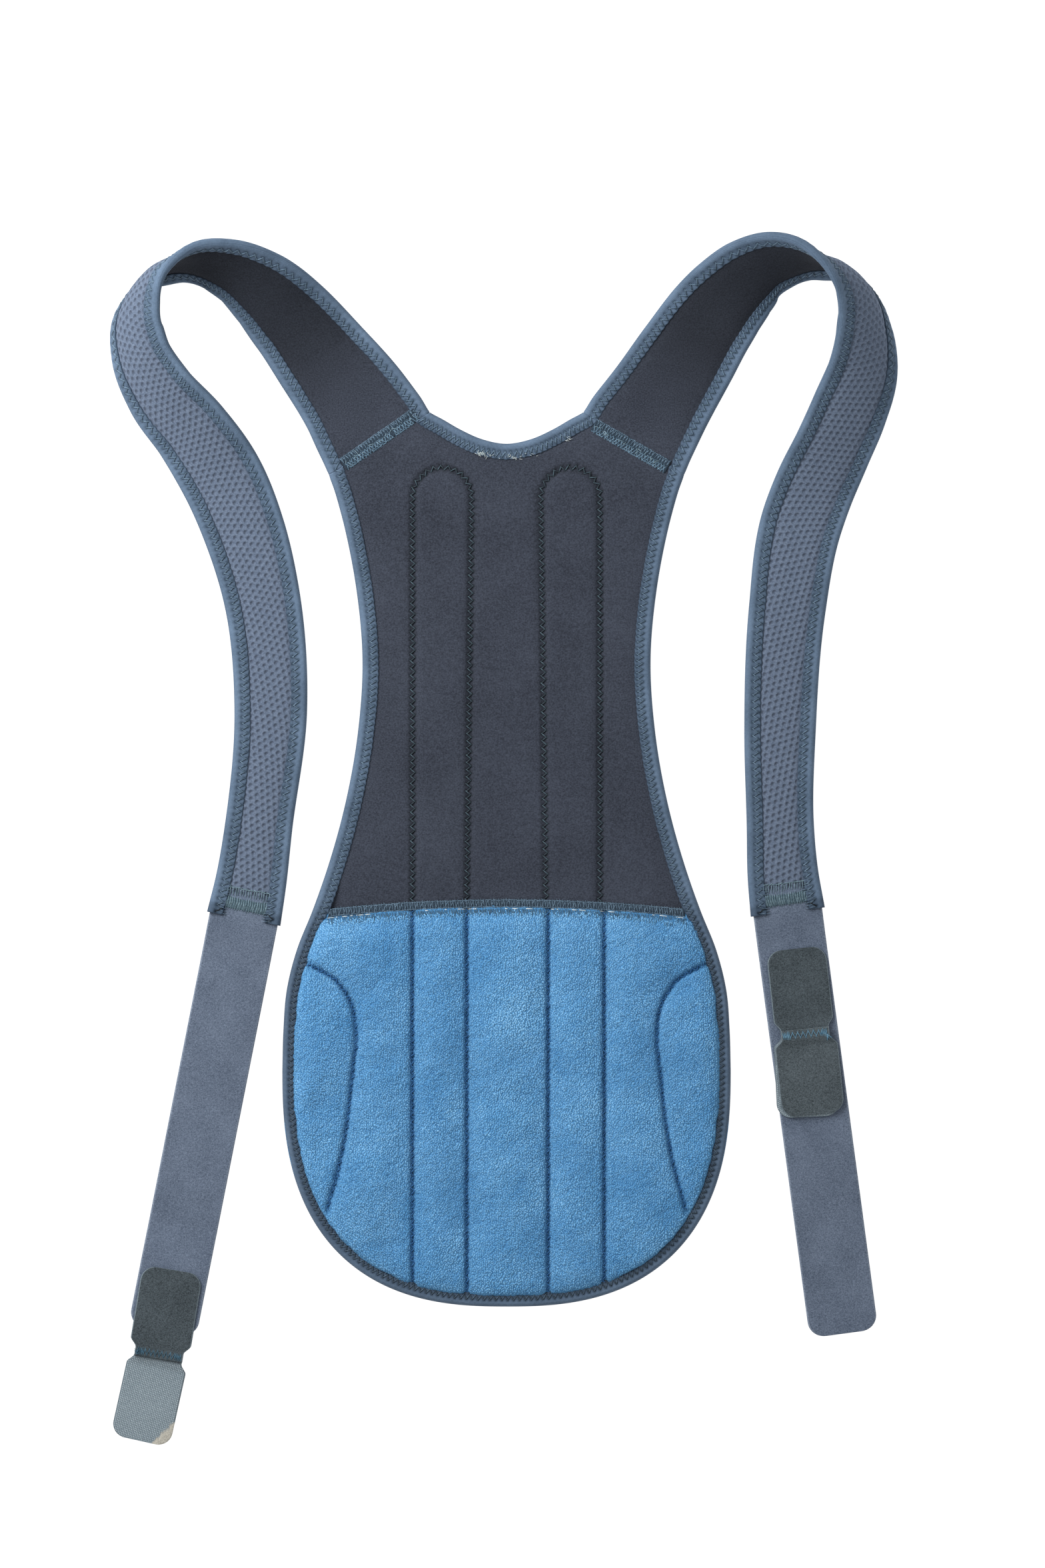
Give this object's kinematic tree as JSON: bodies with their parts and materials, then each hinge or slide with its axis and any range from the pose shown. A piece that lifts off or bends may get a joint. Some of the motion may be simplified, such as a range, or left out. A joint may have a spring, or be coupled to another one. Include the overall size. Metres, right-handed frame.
{
  "type": "thoracolumbar brace",
  "caption": "Soft back brace with a bound foam panel, quilted terry lumbar pad, padded shoulder straps and loop tapes closed by hook tabs.",
  "frame": {"origin": "on the outer face that the brace lies on, on the panel's middle line", "axes": "+Y up the back towards the neck, +Z from the outer face to the body side, +X to the right as seen with the body side up"},
  "size_m": [0.4494, 0.6875, 0.0464],
  "materials": {
    "jersey": "charcoal knitted jersey on foam",
    "terry": "blue looped terry",
    "binding": "blue-grey woven binding",
    "mesh": "blue-grey dimpled spacer mesh",
    "velour": "grey loop velour",
    "felt": "dark grey felted back of a hook tape",
    "hook": "light grey moulded nylon hooks",
    "thread": "light teal polyester sewing thread"
  },
  "bodies": {
    "root": {"back_panel": "jersey", "lumbar_pad": "terry", "panel_binding": "binding", "neck_binding": "binding", "left_strap": "mesh", "left_strap_neck_binding": "binding", "left_strap_arm_binding": "binding", "right_strap": "mesh", "right_strap_neck_binding": "binding", "right_strap_arm_binding": "binding", "left_tape": "velour", "right_tape": "velour", "left_tab_back_jaw": "felt", "left_tab_tail": "felt", "left_tab_front_jaw": "felt", "right_tab_back_jaw": "felt", "right_tab_tail": "felt", "right_tab_front_jaw": "felt"}
  },
  "joints": []
}
